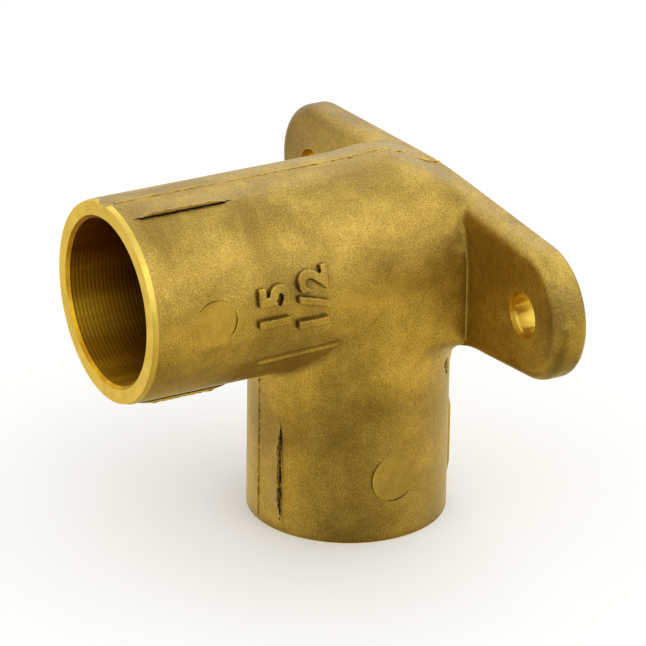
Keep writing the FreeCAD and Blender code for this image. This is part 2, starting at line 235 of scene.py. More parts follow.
def tear_hole(side):
    """Redraws one hole's wall with a torn step. Side is 1 for the near ear, -1 for the far."""
    centre = Vector((side * HOLE_X, 0, HOLE_Z))

    def off_axis(corner):
        return math.hypot(corner.co.x - centre.x, corner.co.z - centre.z)

    def on_wall(corner):
        return abs(off_axis(corner) - HOLE_RADIUS) < WALL_BAND

    open_piece(skin, "FACE")
    pick(skin, "faces", lambda face: all(on_wall(corner) for corner in face.verts))
    bpy.ops.mesh.delete(type="FACE")
    bpy.ops.mesh.select_mode(type="EDGE")
    pick(
        skin,
        "edges",
        lambda edge: edge.is_boundary
        and all(on_wall(end) and end.co.y < -PLATE / 2 for end in edge.verts),
    )
    reach = -PLATE
    for depth, grow in HOLE_STEPS:
        reach += depth * MM
        bpy.ops.mesh.extrude_edges_move(TRANSFORM_OT_translate={"value": (0, depth * MM, 0)})
        bpy.ops.transform.resize(
            value=(grow, 1, grow), center_override=centre + Vector((0, reach, 0))
        )
    bpy.ops.mesh.select_mode(type="VERT")
    bpy.ops.mesh.select_all(action="SELECT")
    bpy.ops.mesh.remove_doubles(threshold=SEAM)
    step = STEP_DEPTH - PLATE
    torn = pick(
        skin,
        "verts",
        lambda corner: off_axis(corner) < HOLE_RADIUS and abs(corner.co.y - step) < WALL_BAND,
    )
    bpy.ops.transform.vertex_random(offset=TORN, uniform=0.3, normal=0, seed=9)
    close_piece()
    return torn


for side in (1, -1):
    print("torn step of a hole:", tear_hole(side), "corners")
open_piece(skin, "EDGE")
print("open edges left:", pick(skin, "edges", lambda edge: not edge.is_manifold))
close_piece()

# %% [markdown]
# ## Soft joins of the forging
# Metal flows in a die, so the heel runs into the plate and the lower barrel in soft hollows.
# The CAD solids meet there in corners. A bevel would need one clean edge, and here several
# short ones run together, so the place is smoothed instead. A box is laid round it and the
# skin is cut at the box's walls by bisects, so that splitting the edges inside can't spread.
# The edges inside are then split until they are short, the triangles evened out, and the
# corners smoothed a set number of times, which spreads the bend over a few cells.

# %% Cut a box out of the skin and split it fine
NEARLY_FLAT = math.radians(8)
HALVINGS = 8
HAIR = 0.0001 * MM
ON_WALL = 0.002 * MM
WATERWAY_END = -3.3 * MM
OUTLET_CORE, INLET_CORE = 6.9 * MM, 8.2 * MM


def is_outside(place):
    """True on the forged outside, False in the bores."""
    in_outlet = math.hypot(place.x, place.z) < OUTLET_CORE and place.y < WATERWAY_END
    in_inlet = math.hypot(place.x, place.y - BEND_Y) < INLET_CORE and place.z < 0
    return not in_outlet and not in_inlet


def in_box(place, low, high, slack):
    """True for a place on the outside that lies in a box, grown by the slack."""
    return all(
        low[k] - slack < place[k] < high[k] + slack for k in range(3)
    ) and is_outside(place)


def halve(too_long):
    """Splits the open skin's long edges in two, a set number of times at most."""
    for _ in range(HALVINGS):
        if not pick(skin, "edges", too_long):
            break
        bpy.ops.mesh.subdivide(number_cuts=1)
        bpy.ops.mesh.select_all(action="SELECT")
        bpy.ops.mesh.quads_convert_to_tris()


def refine(low, high, cell):
    """Cuts the skin at the walls of a box and splits the edges inside down to a cell."""

    def touches(face):
        places = [corner.co for corner in face.verts]
        for k in range(3):
            if min(place[k] for place in places) >= high[k]:
                return False
            if max(place[k] for place in places) <= low[k]:
                return False
        return any(is_outside(place) for place in places)

    def too_long(edge):
        first, last = (corner.co for corner in edge.verts)
        return (last - first).length > cell and in_box((first + last) / 2, low, high, ON_WALL)

    open_piece(skin, "FACE")
    for wall in (low, high):
        for normal in ((1, 0, 0), (0, 1, 0), (0, 0, 1)):
            if pick(skin, "faces", touches):
                bpy.ops.mesh.bisect(plane_co=wall, plane_no=normal, threshold=HAIR)
    bpy.ops.mesh.select_all(action="SELECT")
    bpy.ops.mesh.quads_convert_to_tris()
    bpy.ops.mesh.select_mode(type="EDGE")
    halve(too_long)
    bpy.ops.mesh.select_mode(type="FACE")
    pick(
        skin,
        "faces",
        lambda face: all(in_box(corner.co, low, high, ON_WALL) for corner in face.verts),
    )
    bpy.ops.mesh.beautify_fill(angle_limit=NEARLY_FLAT)


# %% Smooth the joins


def soften(low, high, cell, repeat):
    """Rounds the skin's corners inside a box. Lengths are in mm."""
    low, high = Vector(low) * MM, Vector(high) * MM
    refine(low, high, cell * MM)
    bpy.ops.mesh.select_mode(type="VERT")
    count = pick(skin, "verts", lambda corner: in_box(corner.co, low, high, -ON_WALL))
    bpy.ops.mesh.vertices_smooth(factor=0.5, repeat=repeat)
    close_piece()
    return count


# Lowest corner, highest corner, cell and repeats of each join.
BEHIND_HUMP = ((-11.4, -6.9, 4.6), (11.4, -0.9, 10.2), 0.5, 70)
UNDER_HEEL = ((3.0, -11.5, -11.3), (12.8, -0.5, -6.4), 0.5, 130)
UNDER_FAR_HEEL = ((-12.8, -11.5, -11.3), (-3.0, -0.5, -6.4), 0.5, 130)
for name, box in (
    ("behind the hump", BEHIND_HUMP),
    ("under the heel", UNDER_HEEL),
    ("under its far side", UNDER_FAR_HEEL),
):
    print(name + ":", soften(*box), "corners")

# %% [markdown]
# ## A crisp root
# Where the heel's flank meets the front of an ear, the real join is tighter than the CAD
# fillet. The fillet could be deleted and drawn again, but a squeeze along one axis needs no
# new edges: its corners move towards the ear's face. The squeeze is strong in one long band
# and eases off in two short ones above it, where the join opens into the soft hump.

# %% Squeeze the root fillets
EAR_FACE = -PLATE
FILLET_TOP = -3.95 * MM
ROOT_X = (8 * MM, 14 * MM)
# Bottom and top of each band in mm, and the share of the fillet's depth that stays.
ROOT_BANDS = ((-8.0, 3.0, 0.25), (3.0, 3.9, 0.5), (3.9, 4.6, 0.8))

open_piece(skin, "VERT")
for bottom, top, squeeze in ROOT_BANDS:
    count = pick(
        skin,
        "verts",
        lambda corner: FILLET_TOP < corner.co.y < EAR_FACE - ON_WALL
        and ROOT_X[0] < abs(corner.co.x) < ROOT_X[1]
        and bottom * MM <= corner.co.z < top * MM,
    )
    if count:
        bpy.ops.transform.resize(value=(1, squeeze, 1), center_override=(0, EAR_FACE, 0))
    print("root band:", count, "corners")
close_piece()

# %% [markdown]
# ## Marks of handling
# The near ear has a knock on its end, a fold runs along the crotch, and there is a small pit
# behind the lower barrel. A bump would leave the outline whole, and the strokes of a sculpting
# brush are hard to repeat. So each is pressed into the refined skin: the corners along a short
# line are pushed inwards, and proportional editing takes their neighbours along.

# %% Press a line into the skin
PRESS_CELL = 0.28 * MM


def off_line(place, first, last):
    """Distance of a place from the line between two points."""
    run = last - first
    share = max(0, min(1, (place - first).dot(run) / run.length_squared))
    return (place - first - run * share).length


def press(first, last, inward, width, depth, reach):
    """Pushes the skin in along the line from first to last. Lengths are in mm."""
    first, last, inward = Vector(first) * MM, Vector(last) * MM, Vector(inward).normalized()
    margin = (width + reach) * MM
    low = Vector([min(first[k], last[k]) - margin for k in range(3)])
    high = Vector([max(first[k], last[k]) + margin for k in range(3)])
    refine(low, high, PRESS_CELL)
    bpy.ops.mesh.select_mode(type="VERT")
    count = pick(skin, "verts", lambda corner: off_line(corner.co, first, last) < width * MM)
    bpy.ops.transform.translate(
        value=inward * depth * MM,
        use_proportional_edit=True,
        proportional_edit_falloff="SMOOTH",
        proportional_size=reach * MM,
    )
    close_piece()
    return count


# Both ends of the line, the way in, and then its width, depth and reach.
KNOCK = ((25.0, -2.6, 3.9), (26.1, -2.3, 1.6), (-0.85, 0.4, -0.35), 0.3, 0.2, 1.1)
FOLD = ((8.25, -24.2, -5.2), (8.4, -16.3, -4.95), (-0.85, 0, 0.5), 0.14, 0.1, 0.4)
PIT = ((7.25, -3.6, -10.0), (6.7, -3.05, -11.2), (-0.72, -0.69, 0), 0.2, 0.3, 0.4)
for name, line in (("knock", KNOCK), ("fold", FOLD), ("pit", PIT)):
    print(name + ":", press(*line), "corners")

# %% [markdown]
# ## The parting line
# Forging dies meet in the plane through both bores. A little metal squeezes out between them
# and is sheared off, which leaves a low ragged ridge round the outline. A curve drawn by hand
# would miss the smoothed joins, so a bisect of a second copy gives the outline. Its corners in
# the bores and on the turned rims go, because the tools that cut there took the ridge away.
# Those on the flat back go too.

# %% Cut the outline out of a copy
PARTING_X = -0.12 * MM
OUTLET_RIM = 0.56 * MM
INLET_RIM = 0.15 * MM
INSIDE = 9.0 * MM
BEND_TOP = 7 * MM
NEAR_BACK = -0.4 * MM
RUN = 0.5 * MM
CLOSE = 0.2 * MM

ridge = bpy.data.objects.new("parting_ridge", skin.data.copy())
bpy.context.scene.collection.objects.link(ridge)
open_piece(ridge, "VERT")
bpy.ops.mesh.select_all(action="SELECT")
bpy.ops.mesh.bisect(
    plane_co=(PARTING_X, 0, 0), plane_no=(1, 0, 0), clear_inner=True, clear_outer=True
)


def has_no_ridge(corner):
    y, z = corner.co.yz
    in_bend = -INSIDE < z < BEND_TOP and abs(y - BEND_Y) < INSIDE
    in_outlet = abs(z) < INSIDE and y < BEND_Y
    in_inlet = abs(y - BEND_Y) < INSIDE and z < 0
    on_rim = y < OUTLET_MOUTH + OUTLET_RIM or z < INLET_MOUTH + INLET_RIM
    return in_bend or in_outlet or in_inlet or on_rim or y > NEAR_BACK


while pick(ridge, "edges", lambda edge: edge.calc_length() > RUN):
    bpy.ops.mesh.subdivide(number_cuts=1)
pick(ridge, "verts", has_no_ridge)
bpy.ops.mesh.delete(type="VERT")
bpy.ops.mesh.select_all(action="SELECT")
bpy.ops.mesh.remove_doubles(threshold=CLOSE)
print("parting outline:", len(bmesh.from_edit_mesh(ridge.data).verts), "corners")

# %% [markdown]
# The outline is shaken a little and turned into a curve, because a curve can have a round
# section whose radius changes from point to point. That gives the ragged ridge, with a lip
# where it runs over the top of the plate. It is then made a mesh again and pressed flat where
# it would stand above the forging's top.

# %% Raise the ragged ridge
RIDGE_RADIUS = 0.12 * MM
RAGGED = 0.06 * MM
LIP, LIP_Y, LIP_Z = 2.0, -2.4 * MM, 6 * MM
UNEVEN = (0.5, 1.25)
chance = random.Random(11)

bpy.ops.mesh.select_all(action="SELECT")
bpy.ops.transform.vertex_random(offset=RAGGED, uniform=0.6, normal=0, seed=5)
close_piece()
take(ridge)
bpy.ops.object.convert(target="CURVE")
ridge.data.bevel_depth = RIDGE_RADIUS
ridge.data.bevel_resolution = 1
ridge.data.use_fill_caps = True
for spline in ridge.data.splines:
    for point in spline.points:
        on_plate = point.co.y > LIP_Y and point.co.z > LIP_Z
        point.radius = chance.uniform(*UNEVEN) * (LIP if on_plate else 1)
bpy.ops.object.convert(target="MESH")
open_piece(ridge, "VERT")
if pick(ridge, "verts", lambda corner: corner.co.z > cad_high.z):
    bpy.ops.transform.resize(value=(1, 1, 0), center_override=(0, 0, cad_high.z))
bpy.ops.mesh.select_all(action="SELECT")
bpy.ops.mesh.remove_doubles(threshold=MERGE)
bpy.ops.mesh.normals_make_consistent(inside=False)
close_piece()
print("parting ridge:", len(ridge.data.polygons), "faces")

# %% [markdown]
# ## The clamp lands
# Low flat lands run along the barrels, as where a tool held the forging to trim it. On three
# of them the near edge is ragged and hangs a little over a dark gap. A dark line alone would
# look painted on, so the land's side is split, its upper edge is shaken, and its foot is drawn
# back under it. The lower half of that side also gets a dark finish further on, as painted
# shade.

# %% Rag the edges of the lands
STRIP_X = 3.3 * MM
LAND = 9.63 * MM
STRIP_BAND = 0.03 * MM
LAND_FOOT = 9.3 * MM
LAND_REACH = -14 * MM
UNDERCUT = Vector((-0.16 * MM, 0, 0))
UNDERCUT_LIFT = 0.06 * MM
SPLIT = 0.5 * MM
RAG = 0.07 * MM
# A place on the barrel's axis, the way out to the land, and the way along it.
lands = {
    "outlet top": (Vector((0, 0, 0)), Vector((0, 0, 1)), Vector((0, 1, 0))),
    "outlet underside": (Vector((0, 0, 0)), Vector((0, 0, -1)), Vector((0, 1, 0))),
    "inlet front": (Vector((0, BEND_Y, 0)), Vector((0, -1, 0)), Vector((0, 0, 1))),
}


def rag_land(axis, crown, run):
    """Rags the near edge of one land and draws its foot in."""

    def height(corner):
        return (corner.co - axis).dot(crown)

    def on_side(corner):
        along = (corner.co - axis).dot(run) < LAND_REACH
        return along and abs(corner.co.x - STRIP_X) < STRIP_BAND and height(corner) > INSIDE

    def too_long(edge):
        return edge.calc_length() > SPLIT and all(on_side(end) for end in edge.verts)

    open_piece(skin, "EDGE")
    halve(too_long)
    bpy.ops.mesh.select_mode(type="VERT")
    upper = pick(
        skin, "verts", lambda corner: on_side(corner) and height(corner) > LAND - STRIP_BAND
    )
    bpy.ops.transform.vertex_random(offset=RAG, uniform=0.3, normal=0, seed=3)
    if pick(skin, "verts", lambda corner: on_side(corner) and height(corner) < LAND_FOOT):
        bpy.ops.transform.translate(value=crown * UNDERCUT_LIFT + UNDERCUT)
    close_piece()
    return upper


for name, land in lands.items():
    print(name + ":", rag_land(*land), "corners on its edge")

# %% [markdown]
# ## The size mark
# The die leaves a raised mark on the flank of the outlet: the pipe's nominal size, in
# millimetres and in inches. A bump would need a picture and would cast no shadow, so the mark
# is built. A text is made a mesh while it lies flat, turned so that it reads up the flank, laid
# on the surface by a Shrinkwrap that projects along X, and given its height by Solidify. A
# Remesh and a Smooth then round it, as a forged mark is rounded.

# %% Write the mark and turn it to read up the flank
MARK_HEIGHT = 3.0 * MM
CAPITAL = 0.72
MARK_BOLD = 0.2 * MM
MARK_PLACE = Vector((16 * MM, -21.6 * MM, 0.6 * MM))

clear_selection()
bpy.ops.object.text_add()
mark = bpy.context.object
mark.name = "size_mark"
mark.data.body = "15\n1/2"
mark.data.size = MARK_HEIGHT / CAPITAL
mark.data.offset = MARK_BOLD
mark.data.space_character = 1.2
mark.data.align_x = "CENTER"
mark.data.align_y = "CENTER"
bpy.ops.object.convert(target="MESH")
reads = Vector((0, 0, 1))
stands = Vector((0, -1, 0))
mark.matrix_world = Matrix.Translation(MARK_PLACE) @ Matrix(
    (reads, stands, reads.cross(stands))
).transposed().to_4x4()
take(mark)
bpy.ops.object.transform_apply(location=True, rotation=True, scale=True)
print("mark, mm:", in_mm(mark.dimensions))

# %% Lay it on the flank and round it
MARK_RISE = 0.5 * MM
MARK_SINK = 0.3 * MM
CELL = 0.4 * MM
VOXEL = 0.07 * MM
ROUNDS = 10

open_piece(mark, "EDGE")
bpy.ops.mesh.select_all(action="SELECT")
bpy.ops.mesh.remove_doubles(threshold=MERGE)
bpy.ops.mesh.quads_convert_to_tris()
while pick(mark, "edges", lambda edge: edge.calc_length() > CELL):
    bpy.ops.mesh.subdivide(number_cuts=1)
    bpy.ops.mesh.select_all(action="SELECT")
    bpy.ops.mesh.quads_convert_to_tris()
close_piece()
take(mark)
lay = mark.modifiers.new("lay", "SHRINKWRAP")
lay.target = skin
lay.wrap_method = "PROJECT"
lay.use_project_x = True
lay.use_positive_direction = False
lay.use_negative_direction = True
bpy.ops.object.modifier_apply(modifier="lay")
open_piece(mark, "VERT")
bpy.ops.mesh.select_all(action="SELECT")
bpy.ops.transform.translate(value=(-MARK_SINK, 0, 0))
close_piece()
take(mark)
rise = mark.modifiers.new("rise", "SOLIDIFY")
rise.thickness = MARK_RISE + MARK_SINK
rise.offset = 1.0
bpy.ops.object.modifier_apply(modifier="rise")
even = mark.modifiers.new("even", "REMESH")
even.mode = "VOXEL"
even.voxel_size = VOXEL
bpy.ops.object.modifier_apply(modifier="even")
round_off = mark.modifiers.new("round_off", "SMOOTH")
round_off.factor = 0.5
round_off.iterations = ROUNDS
bpy.ops.object.modifier_apply(modifier="round_off")
print("mark:", len(mark.data.polygons), "faces")

# %% [markdown]
# ## Finishes
# A material is a small net of nodes. The helper below makes a new one and returns a kit of
# short functions that add nodes and link them, with the shader at the net's end.

# %% Start a material
OPEN_SAMPLES = 5


def start_material(name, metallic):
    material = bpy.data.materials.new(name)
    material.use_nodes = True
    tree = material.node_tree
    shader = tree.nodes["Principled BSDF"]
    shader.inputs["Metallic"].default_value = metallic
    place = tree.nodes.new("ShaderNodeTexCoord")

    def add(kind, operation=None, **values):
        made = tree.nodes.new("ShaderNode" + kind)
        if operation:
            made.operation = operation
        for socket, value in values.items():
            made.inputs[socket.replace("_", " ")].default_value = value
        return made

    def noise(stretch=(1, 1, 1), **values):
        scale = add("VectorMath", "MULTIPLY")
        tree.links.new(place.outputs["Object"], scale.inputs[0])
        scale.inputs[1].default_value = stretch
        made = add("TexNoise", **values)
        tree.links.new(scale.outputs["Vector"], made.inputs["Vector"])
        return made.outputs["Fac"]

    def spread(source, low, high, to_low, to_high, smooth=False):
        made = add("MapRange", From_Min=low, From_Max=high, To_Min=to_low, To_Max=to_high)
        made.interpolation_type = "SMOOTHSTEP" if smooth else "LINEAR"
        tree.links.new(source, made.inputs["Value"])
        return made.outputs["Result"]

    def times(*sources):
        result = sources[0]
        for source in sources[1:]:
            made = add("Math", "MULTIPLY")
            tree.links.new(result, made.inputs[0])
            tree.links.new(source, made.inputs[1])
            result = made.outputs["Value"]
        return result

    def blend(factor, first, second):
        made = add("Mix")
        made.data_type = "RGBA"
        tree.links.new(factor, made.inputs["Factor"])
        for socket, color in (("A", first), ("B", second)):
            if isinstance(color, tuple):
                made.inputs[socket].default_value = (*color, 1)
            else:
                tree.links.new(color, made.inputs[socket])
        return made.outputs["Result"]

    def scaled(color, factor):
        made = add("VectorMath", "SCALE")
        tree.links.new(color, made.inputs["Vector"])
        tree.links.new(factor, made.inputs["Scale"])
        return made.outputs["Vector"]

    def open_share(distance, inside=False):
        made = add("AmbientOcclusion", Distance=distance)
        made.samples = OPEN_SAMPLES
        made.inside = inside
        return made.outputs["AO"]

    def bumps(*layers):
        normal = None
        for source, strength, distance in layers:
            made = add("Bump", Strength=strength, Distance=distance)
            tree.links.new(source, made.inputs["Height"])
            if normal:
                tree.links.new(normal, made.inputs["Normal"])
            normal = made.outputs["Normal"]
        tree.links.new(normal, shader.inputs["Normal"])

    def set_link(socket, source):
        tree.links.new(source, shader.inputs[socket])

    kit = SimpleNamespace(
        add=add,
        place=place.outputs["Object"],
        noise=noise,
        spread=spread,
        times=times,
        blend=blend,
        scaled=scaled,
        open_share=open_share,
        bumps=bumps,
        set=set_link,
        link=tree.links.new,
        shader=shader,
    )
    return material, kit


# %% [markdown]
# ### Forged brass
# The skin of the forging is satin and grainy, as if blasted clean, and it has browned
# unevenly. The finish is painted darker on the lower barrel's flanks and foot and on the far
# ear, as painted shade, and darker in the corners and hollows, as dirt and painted shade. It
# is also darker round the mark and near the ends of the ears, and lighter again at their tips.
# Three noises give grain, mottle and stain, because a noise needs no picture and has no seams.
# Ambient occlusion finds the corners, narrow and wide, and worn edges from inside. The
# ejector pins pressed smoother discs of the same brass.

# %% Forged brass
MARK_MIDDLE = (9.6 * MM, -22.2 * MM, 0)
DULL, FRESH, STAINED = (0.44, 0.287, 0.043), (0.63, 0.422, 0.078), (0.29, 0.17, 0.02)
GRAIN_SHADE = 0.45
GRAIN_RELIEF, MOTTLE_RELIEF = 0.04 * MM, 0.2 * MM
CORNER, HOLLOW, EDGE = 1.1 * MM, 3.0 * MM, 0.5 * MM
# Most values of a noise lie in these ranges.
GRAINS, CLOUDS = (0.25, 0.75), (0.3, 0.7)
SATIN = (0.29, 0.41)
# From and to, as lengths, noise values or shares of openness, and the result at either end.
STAINS = (0.45, 0.7, 0, 0.8)
# Painted shade on the lower barrel's flanks and towards its foot.
LOW_DOWN = (-9 * MM, -13 * MM, 0, 1)
ON_FLANK = (2.5 * MM, 7 * MM, 0, 1)
LOW_FLANK = (0, 1, 1.0, 0.72)
BARREL_FOOT = (-18 * MM, -26 * MM, 1.0, 0.86)
# Darker near the ends of the ears, lighter again at their tips.
EAR_END = (23.4 * MM, 25.2 * MM, 1.0, 0.68)
EAR_TIP = (25.5 * MM, 26.4 * MM, 1.0, 1.35)
# Painted shade on the far ear.
FAR_EAR = (-11.5 * MM, -14 * MM, 1.0, 0.8)
MARK_GROUND = (3 * MM, 7.5 * MM, 0.84, 1.0)
# Dirt and painted shade in the corners, painted shade in the hollows.
IN_CORNER = (0.35, 0.9, 0.3, 1.0)
IN_HOLLOW = (0.4, 0.8, 0.85, 1.0)
ON_EDGE = (0.5, 1.0, 1.18, 1.0)


def forged_finish(name, grit):
    """Blasted brass. Grit is the depth of its grain, from 0 to 1."""
    material, kit = start_material(name, 1.0)
    grain = kit.noise(Scale=7600, Detail=1.5, Roughness=0.6)
    mottle = kit.noise(Scale=480, Detail=5.0, Roughness=0.62)
    stain = kit.noise(Scale=110, Detail=4.0, Roughness=0.6, Distortion=0.6)
    axes = kit.add("SeparateXYZ")
    kit.link(kit.place, axes.inputs["Vector"])
    out = kit.add("Math", "ABSOLUTE")
    kit.link(axes.outputs["X"], out.inputs[0])
    from_mark = kit.add("VectorMath", "DISTANCE")
    kit.link(kit.place, from_mark.inputs[0])
    from_mark.inputs[1].default_value = MARK_MIDDLE
    # Openness, for dirt and painted shade in the corners and painted shade in the hollows.
    corner_dirt_and_shade = kit.open_share(CORNER)
    hollow_shade = kit.open_share(HOLLOW)
    low = kit.spread(axes.outputs["Z"], *LOW_DOWN, smooth=True)
    flank = kit.spread(out.outputs["Value"], *ON_FLANK)
    edges = kit.open_share(EDGE, inside=True)
    tone = kit.blend(kit.spread(mottle, *CLOUDS, 0, 1), DULL, FRESH)
    tone = kit.blend(kit.spread(stain, *STAINS), tone, STAINED)
    shade = kit.times(
        kit.spread(grain, *GRAINS, 1 - GRAIN_SHADE * grit, 1 + GRAIN_SHADE * grit),
        # Painted shade on the lower barrel's flanks and towards its foot.
        kit.spread(kit.times(low, flank), *LOW_FLANK),
        kit.spread(axes.outputs["Z"], *BARREL_FOOT, smooth=True),
        # Darker near the ends of the ears, lighter again at their tips.
        kit.spread(out.outputs["Value"], *EAR_END, smooth=True),
        kit.spread(out.outputs["Value"], *EAR_TIP, smooth=True),
        # Painted shade on the far ear.
        kit.spread(axes.outputs["X"], *FAR_EAR, smooth=True),
        kit.spread(from_mark.outputs["Value"], *MARK_GROUND, smooth=True),
        # Dirt and painted shade in the corners, painted shade in the hollows.
        kit.spread(corner_dirt_and_shade, *IN_CORNER, smooth=True),
        kit.spread(hollow_shade, *IN_HOLLOW, smooth=True),
        kit.spread(edges, *ON_EDGE),
    )
    kit.set("Base Color", kit.scaled(tone, shade))
    kit.set("Roughness", kit.spread(mottle, *CLOUDS, *SATIN))
    kit.bumps((grain, 0.7 * grit, GRAIN_RELIEF), (mottle, 0.3, MOTTLE_RELIEF))
    kit.shader.inputs["Coat Weight"].default_value = 0.42
    kit.shader.inputs["Coat Roughness"].default_value = 0.38
    return material


forged = forged_finish("blasted_brass", 1.0)
pressed = forged_finish("pin_brass", 0.4)
print("forged finishes:", forged.name, pressed.name)

# %% [markdown]
# ### Cut brass
# Where a tool has cut, the brass is bright yellow. The rims and chamfers are turned, the screw
# holes drilled, the sockets bored. The waterway behind the sockets is painted very dark, as
# painted shade deep in the forging. The pit and the gaps under the lands are painted dark, as
# painted shade. These differ in tone, shine and turned rings, so one function makes them all,
# apart from the sockets.

# %% Cut finishes and painted shade
SCRATCH_DEPTH = 0.02 * MM
TURNING_PITCH, TURNING_DEPTH = 0.16 * MM, 0.01 * MM


def worn(name, light, dark, roughness, metallic=1.0, ring_bump=0.0):
    """Cut metal or painted shade, clouded between two tones, with turned rings if asked for."""
    material, kit = start_material(name, metallic)
    cloud = kit.noise(Scale=620, Detail=4.0, Roughness=0.6)
    scratch = kit.noise(Scale=9000, Detail=1.0)
    kit.set("Base Color", kit.blend(kit.spread(cloud, *CLOUDS, 0, 1), dark, light))
    rough, smooth = roughness * 1.15, roughness * 0.85
    kit.set("Roughness", kit.spread(cloud, *CLOUDS, rough, smooth))
    layers = [(scratch, 0.25, SCRATCH_DEPTH)]
    if ring_bump:
        axes = kit.add("SeparateXYZ")
        kit.link(kit.place, axes.inputs["Vector"])
        radius = kit.add("CombineXYZ")
        kit.link(axes.outputs["X"], radius.inputs["X"])
        kit.link(axes.outputs["Z"], radius.inputs["Z"])
        length = kit.add("VectorMath", "LENGTH")
        kit.link(radius.outputs["Vector"], length.inputs[0])
        wave = kit.add("Math", "SINE")
        pitch = kit.add("Math", "MULTIPLY")
        kit.link(length.outputs["Value"], pitch.inputs[0])
        pitch.inputs[1].default_value = math.tau / TURNING_PITCH
        kit.link(pitch.outputs["Value"], wave.inputs[0])
        layers.append((wave.outputs["Value"], ring_bump, TURNING_DEPTH))
    kit.bumps(*layers)
    return material


turned = worn("turned_brass", (0.95, 0.71, 0.145), (0.78, 0.56, 0.105), 0.36, ring_bump=0.3)
drilled = worn("drilled_brass", (0.80, 0.56, 0.085), (0.60, 0.39, 0.05), 0.36)
# Painted shade deep in the waterway.
shaded_waterway = worn("waterway_brass", (0.20, 0.10, 0.016), (0.11, 0.05, 0.008), 0.45)
# Painted shade in the pit and in the gaps under the lands.
pit_and_gap_shade = worn("lap_dirt", (0.13, 0.078, 0.024), (0.06, 0.034, 0.011), 0.7, metallic=0.3)
print("cut and dirty finishes:", *[made.name for made in (turned, drilled, shaded_waterway, pit_and_gap_shade)])

# %% [markdown]
# The walls of the sockets are streaked along the bore. They are painted brighter near the
# mouth and low on one side, as painted light, and darker and browner further in, as painted
# shade. A noise that is drawn out along the axis gives the streaks, and two lengths give the
# painted light and shade: the depth in the bore and the distance towards the bright side.

# %% Bored sockets
LIT_FROM, LIT_TO = 1 * MM, 10 * MM
SIDE_FROM, SIDE_TO = 1 * MM, 8 * MM
# The share of painted light at either end of both ranges, and the roughness without and with
# it.
DEPTH_LIT, SIDE_LIT, LIT_ROUGHNESS = (1, 0.3), (0.37, 1), (0.3, 0.58)
STREAKS = (0.38, 0.62)
DRAWN_OUT = 0.06
OUTLET_BRIGHT, INLET_BRIGHT = (-0.55, 0, -0.835), (-1, 0, 0)
DEEP, STREAK_DARK, STREAK_LIGHT = (0.31, 0.12, 0.007), (0.56, 0.28, 0.012), (0.97, 0.63, 0.04)


def bored_finish(name, stretch, inward, mouth, bright_side):
    """Bored brass, streaked along the axis, with painted light near the mouth and on one side.
    """
    material, kit = start_material(name, 1.0)
    streak = kit.noise(stretch, Scale=300, Detail=3.0, Roughness=0.6)
    tone = kit.blend(kit.spread(streak, *STREAKS, 0, 1), STREAK_DARK, STREAK_LIGHT)

    def reach(direction):
        made = kit.add("VectorMath", "DOT_PRODUCT")
        kit.link(kit.place, made.inputs[0])
        made.inputs[1].default_value = direction
        return made.outputs["Value"]

    near, far = mouth + LIT_FROM, mouth + LIT_TO
    # Painted light near the mouth and on the bright side, painted shade deeper in.
    lit_share = kit.times(
        kit.spread(reach(inward), near, far, *DEPTH_LIT, smooth=True),
        kit.spread(reach(bright_side), SIDE_FROM, SIDE_TO, *SIDE_LIT, smooth=True),
    )
    kit.set("Base Color", kit.blend(lit_share, DEEP, tone))
    kit.set("Roughness", kit.spread(lit_share, 0, 1, *LIT_ROUGHNESS))
    kit.bumps((kit.noise(Scale=9000, Detail=1.0), 0.2, SCRATCH_DEPTH))
    return material


bored_along_y = bored_finish(
    "bored_outlet", (1, DRAWN_OUT, 1), (0, 1, 0), OUTLET_MOUTH, OUTLET_BRIGHT
)
bored_along_z = bored_finish(
    "bored_inlet", (1, 1, DRAWN_OUT), (0, 0, 1), INLET_MOUTH, INLET_BRIGHT
)
print("bored finishes:", bored_along_y.name, bored_along_z.name)

# %% [markdown]
# Each face of the skin gets its finish by where it is: how far it lies from the axis of the
# outlet, of the inlet or of a screw hole, and how far along it. Faces could be picked by hand,
# but such rules still hold when a step above changes the mesh.

# %% Rules for the finishes
finishes = (forged, turned, drilled, bored_along_y, bored_along_z, shaded_waterway, pit_and_gap_shade, pressed)
WATER_RADIUS = 6.65 * MM
SLACK = 0.08 * MM
PIN_PLANE = 9.63 * MM
# Y, Z and radius of each pin's disc.
PINS = ((-29.8 * MM, 0.3 * MM, 2.2 * MM), (-10.4 * MM, -19.7 * MM, 2.4 * MM))
FLAT_RIM = 0.02 * MM
SKIN_PATCH = (-1.7 * MM, 0.2 * MM)
PIT_LINE = [Vector(end) * MM for end in PIT[:2]]
PIT_DARK = 0.32 * MM
UPRIGHT = 0.7
GAP_TOP = 9.42 * MM
LAND_SIDE = 0.2 * MM
NEARER_OUTLET = 30 * MM
FACING, FLAT_ON = 0.9, 0.99


def barrel_finish(along, radius, rim, bored):
    """Finish of a face by its depth from a mouth and its distance from that bore's axis."""
    if along < FLAT_RIM and radius > SOCKET_RADIUS:
        return turned
    if along < rim and radius > INSIDE:
        return turned
    if along < MOUTH_CHAMFER and radius < INSIDE:
        return bored
    if along < SOCKET_DEPTH + SLACK and WATER_RADIUS + SLACK < radius < SOCKET_RADIUS + SLACK:
        return bored
    # Deep in the waterway, painted shade.
    if radius < WATER_RADIUS + SLACK:
        return shaded_waterway
    return None


def land_gap(centre, normal):
    """True on the lower half of a land's side, where it hangs over; painted shade goes there.
    """
    if normal.x < UPRIGHT or abs(centre.x - STRIP_X + SLACK) > LAND_SIDE:
        return False
    for axis, crown, run in lands.values():
        rise = (centre - axis).dot(crown)
        if (centre - axis).dot(run) < LAND_REACH and INSIDE < rise < GAP_TOP:
            return True
    return False


